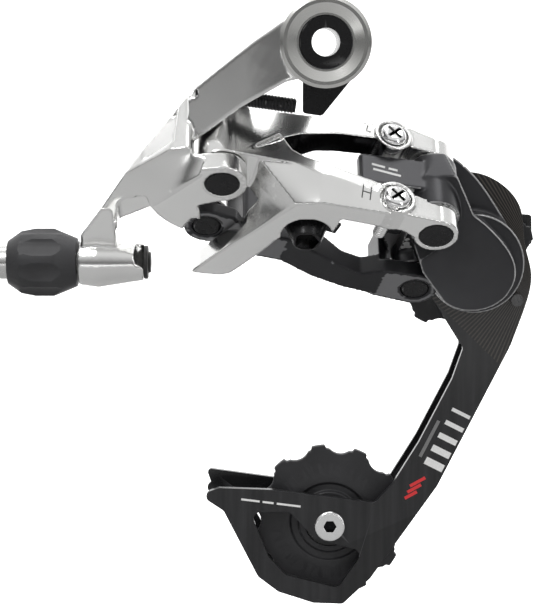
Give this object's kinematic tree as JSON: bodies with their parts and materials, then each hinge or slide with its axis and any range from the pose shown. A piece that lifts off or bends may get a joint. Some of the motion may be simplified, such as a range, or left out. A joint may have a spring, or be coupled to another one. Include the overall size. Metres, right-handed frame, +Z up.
{
  "type": "rear bicycle derailleur",
  "caption": "Long-arm parallelogram rear derailleur for a derailleur-geared bicycle, with hanger bolt, cable adjuster, limit screws and a sprung cage with guide and tension pulleys.",
  "frame": {"origin": "on the hanger bolt axis, at the outer face of the frame's derailleur hanger", "axes": "+X forward along the bicycle, +Y inboard along the hanger bolt, +Z up"},
  "size_m": [0.1406, 0.0633, 0.162],
  "materials": {
    "forged_aluminium": "polished",
    "cap_aluminium": "satin",
    "black_anodised": "satin",
    "charcoal_anodised": "satin",
    "steel_black": "semi-gloss",
    "steel_bright": "machined",
    "chrome_steel": "polished",
    "knob_rubber": "matt",
    "seal_rubber": "matt",
    "carbon": "gloss",
    "plate_black": "gloss",
    "pulley_resin": "matt",
    "bushing_polymer": "matt"
  },
  "bodies": {
    "hanger_bolt": {"hanger_bolt": "steel_black", "stop_plate": "steel_black"},
    "b_knuckle": {"b_knuckle": "forged_aluminium", "hanger_bushing": "bushing_polymer", "hanger_cap_ring": "cap_aluminium", "hanger_seal": "seal_rubber", "boss_plug": "seal_rubber", "pin_outer_upper": "steel_black", "pin_inner_upper": "steel_black"},
    "b_screw": {"b_screw": "steel_black"},
    "adjuster_barrel": {"adjuster_barrel": "steel_bright"},
    "adjuster_knob": {"adjuster_knob": "knob_rubber"},
    "outer_link": {"outer_link": "forged_aluminium", "anchor_bolt": "steel_black", "anchor_washer": "steel_black", "return_spring": "steel_black"},
    "limit_screw_high": {"limit_screw_high": "chrome_steel"},
    "limit_screw_low": {"limit_screw_low": "chrome_steel"},
    "inner_link": {"inner_link": "black_anodised"},
    "p_knuckle": {"p_knuckle": "charcoal_anodised", "p_knuckle_seal": "seal_rubber", "pin_outer_lower": "steel_black", "pin_inner_lower": "steel_black", "cage_spring": "steel_bright"},
    "cage": {"cage_axle": "steel_bright", "cage_outer_plate": "carbon", "cage_inner_plate": "plate_black", "cage_spacer_upper": "plate_black", "cage_stop_pin": "steel_black", "guide_pulley_bolt": "chrome_steel", "tension_pulley_bolt": "chrome_steel", "guide_pulley_sleeve": "steel_bright", "tension_pulley_sleeve": "steel_bright"},
    "guide_pulley": {"guide_pulley": "pulley_resin", "guide_bearing_race": "steel_bright", "guide_dust_cap_front": "seal_rubber", "guide_dust_cap_back": "seal_rubber"},
    "tension_pulley": {"tension_pulley": "pulley_resin", "tension_bearing_race": "steel_bright", "tension_dust_cap_front": "seal_rubber", "tension_dust_cap_back": "seal_rubber"}
  },
  "joints": [
    {"name": "hanger_pivot", "type": "hinge", "parent": "hanger_bolt", "child": "b_knuckle", "pos_m": [0, 0, 0], "axis": [0, 1, 0], "range_deg": [-3, 30]},
    {"name": "b_screw_turn", "type": "hinge", "parent": "b_knuckle", "child": "b_screw", "pos_m": [-0.0069, -0.0035, -0.0156], "axis": [0.9903, 0, -0.1392], "range_deg": [-180, 180]},
    {"name": "adjuster_slide", "type": "slide", "parent": "b_knuckle", "child": "adjuster_barrel", "axis": [-1, 0, 0], "range_m": [0, 0.0024]},
    {"name": "adjuster_turn", "type": "hinge", "parent": "adjuster_barrel", "child": "adjuster_knob", "pos_m": [-0.0706, 0.0115, -0.056], "axis": [-1, 0, 0], "range_deg": [0, 1080]},
    {"name": "outer_link_swing", "type": "hinge", "parent": "b_knuckle", "child": "outer_link", "pos_m": [-0.0251, 0.00161, -0.02419], "axis": [0, 0.7071, 0.7071], "range_deg": [-12, 30]},
    {"name": "limit_high_turn", "type": "hinge", "parent": "outer_link", "child": "limit_screw_high", "pos_m": [0.01643, 0.00006, -0.04258], "axis": [0.2756, -0.6797, 0.6797], "range_deg": [-180, 180]},
    {"name": "limit_low_turn", "type": "hinge", "parent": "outer_link", "child": "limit_screw_low", "pos_m": [0.01643, 0.01498, -0.02766], "axis": [0.2756, -0.6797, 0.6797], "range_deg": [-180, 180]},
    {"name": "inner_link_swing", "type": "hinge", "parent": "b_knuckle", "child": "inner_link", "pos_m": [-0.0295, 0.01448, -0.03848], "axis": [0, 0.7071, 0.7071], "range_deg": [-12, 30]},
    {"name": "p_knuckle_pivot", "type": "hinge", "parent": "outer_link", "child": "p_knuckle", "pos_m": [0.02839, 0.00892, -0.03857], "axis": [0, 0.7071, 0.7071], "range_deg": [-30, 12], "deforming": ["return_spring"]},
    {"name": "cage_pivot", "type": "hinge", "parent": "p_knuckle", "child": "cage", "pos_m": [0.0396, 0.029, -0.0565], "axis": [0, -1, 0], "range_deg": [0, 60], "stiffness_Nm_per_rad": 0.06, "springref_deg": -114.59},
    {"name": "guide_pulley_spin", "type": "hinge", "parent": "cage", "child": "guide_pulley", "pos_m": [0.0368, 0.0351, -0.0554], "axis": [0, 1, 0], "continuous": true},
    {"name": "tension_pulley_spin", "type": "hinge", "parent": "cage", "child": "tension_pulley", "pos_m": [0.0029, 0.0351, -0.1292], "axis": [0, 1, 0], "continuous": true}
  ],
  "couplings": [
    {"joint": "inner_link_swing", "follows": "outer_link_swing", "ratio": 1},
    {"joint": "p_knuckle_pivot", "follows": "outer_link_swing", "ratio": -1},
    {"joint": "adjuster_turn", "follows": "adjuster_slide", "rad_per_m": 7854}
  ]
}
